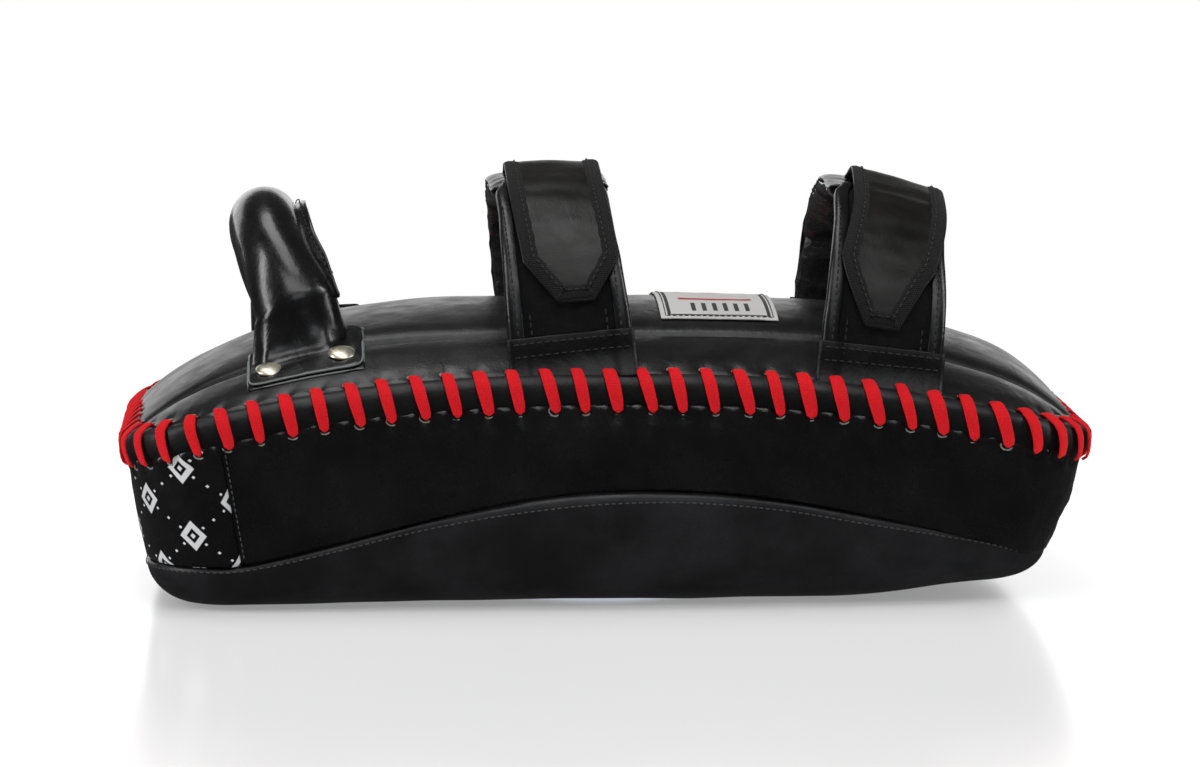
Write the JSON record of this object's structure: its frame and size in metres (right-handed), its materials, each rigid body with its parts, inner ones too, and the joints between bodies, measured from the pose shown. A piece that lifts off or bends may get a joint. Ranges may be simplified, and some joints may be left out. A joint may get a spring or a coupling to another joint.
{
  "type": "thai pad",
  "caption": "Curved striking pad worn on the forearm: foam body in laced leather, a padded grip and two padded forearm straps that close with hook and loop tabs.",
  "frame": {"origin": "under the middle of the pad, on the flat strike face it lies on", "axes": "+X along the pad from the handle end to the plain end, -Y the near long side, +Z out of the back"},
  "size_m": [0.394, 0.194, 0.1772],
  "materials": {
    "face_leather": "satin black grained leather",
    "side_leather": "semi-gloss black leather",
    "back_leather": "satin dark grey-black leather",
    "printed_leather": "black leather with small pale printed lozenges and dots",
    "grip_leather": "glossy black leather",
    "cuff_leather": "glossy crumpled black leather",
    "lining_leather": "matte black lining leather",
    "flap_leather": "black leather",
    "webbing": "fuzzy black loop webbing",
    "hook_tape": "stiff black hook tape",
    "binding_tape": "woven black binding tape",
    "lace": "saturated red flat woven lace",
    "label": "white woven label with a black border and a red ring",
    "foam": "closed-cell foam",
    "rivet_metal": "polished nickel dome rivet"
  },
  "bodies": {
    "pad": {"foam_strike_layer": "foam", "foam_core_layer": "foam", "foam_back_crown": "foam", "strike_face_cover": "face_leather", "side_panel_near": "side_leather", "side_panel_far": "side_leather", "end_panel_printed": "printed_leather", "back_centre_panel": "back_leather", "back_border_near": "back_leather", "back_border_far": "back_leather", "lacing_flap": "flap_leather", "edge_lace": "lace", "woven_label": "label", "handle_base_near": "grip_leather", "handle_base_far": "grip_leather", "handle_rivets": "rivet_metal", "rivet_washers": "rivet_metal", "wrist_base_near": "cuff_leather", "wrist_base_far": "cuff_leather", "forearm_base_near": "cuff_leather", "forearm_base_far": "cuff_leather"},
    "handle": {"handle_cover": "grip_leather", "handle_core": "foam", "handle_flange": "grip_leather"},
    "wrist_near_half": {"wrist_backing": "cuff_leather", "wrist_webbing": "webbing", "wrist_binding": "binding_tape"},
    "wrist_cuff": {"wrist_cuff_outer": "cuff_leather", "wrist_cuff_padding": "foam", "wrist_cuff_lining": "lining_leather"},
    "wrist_tab": {"wrist_tab_face": "cuff_leather", "wrist_tab_hook": "hook_tape", "wrist_tab_binding": "binding_tape"},
    "forearm_near_half": {"forearm_backing": "cuff_leather", "forearm_webbing": "webbing", "forearm_binding": "binding_tape"},
    "forearm_cuff": {"forearm_cuff_outer": "cuff_leather", "forearm_cuff_padding": "foam", "forearm_cuff_lining": "lining_leather"},
    "forearm_tab": {"forearm_tab_face": "cuff_leather", "forearm_tab_hook": "hook_tape", "forearm_tab_binding": "binding_tape"}
  },
  "joints": [
    {"name": "handle_flex", "type": "hinge", "parent": "pad", "child": "handle", "pos_m": [-0.122, 0, 0.1106], "axis": [0, 1, 0], "range_deg": [-16, 34]},
    {"name": "wrist_cuff_open", "type": "hinge", "parent": "pad", "child": "wrist_cuff", "pos_m": [-0.016, 0.086, 0.10534], "axis": [-0.9945, 0, -0.1045], "range_deg": [0, 30]},
    {"name": "wrist_near_open", "type": "hinge", "parent": "pad", "child": "wrist_near_half", "pos_m": [-0.016, -0.086, 0.10534], "axis": [0.9945, 0, 0.1045], "range_deg": [0, 15]},
    {"name": "wrist_tab_open", "type": "hinge", "parent": "wrist_cuff", "child": "wrist_tab", "pos_m": [-0.02304, -0.03378, 0.17229], "axis": [-0.9945, 0, -0.1045], "range_deg": [0, 150]},
    {"name": "forearm_cuff_open", "type": "hinge", "parent": "pad", "child": "forearm_cuff", "pos_m": [0.11, 0.086, 0.09907], "axis": [-0.9945, 0, 0.1045], "range_deg": [0, 30]},
    {"name": "forearm_near_open", "type": "hinge", "parent": "pad", "child": "forearm_near_half", "pos_m": [0.11, -0.086, 0.09907], "axis": [0.9945, 0, -0.1045], "range_deg": [0, 15]},
    {"name": "forearm_tab_open", "type": "hinge", "parent": "forearm_cuff", "child": "forearm_tab", "pos_m": [0.11704, -0.03378, 0.16603], "axis": [-0.9945, 0, 0.1045], "range_deg": [0, 150]}
  ],
  "couplings": [
    {"joint": "wrist_cuff_open", "follows": "wrist_tab_open", "ratio": 0.2},
    {"joint": "wrist_near_open", "follows": "wrist_tab_open", "ratio": 0.1},
    {"joint": "forearm_cuff_open", "follows": "forearm_tab_open", "ratio": 0.2},
    {"joint": "forearm_near_open", "follows": "forearm_tab_open", "ratio": 0.1}
  ]
}
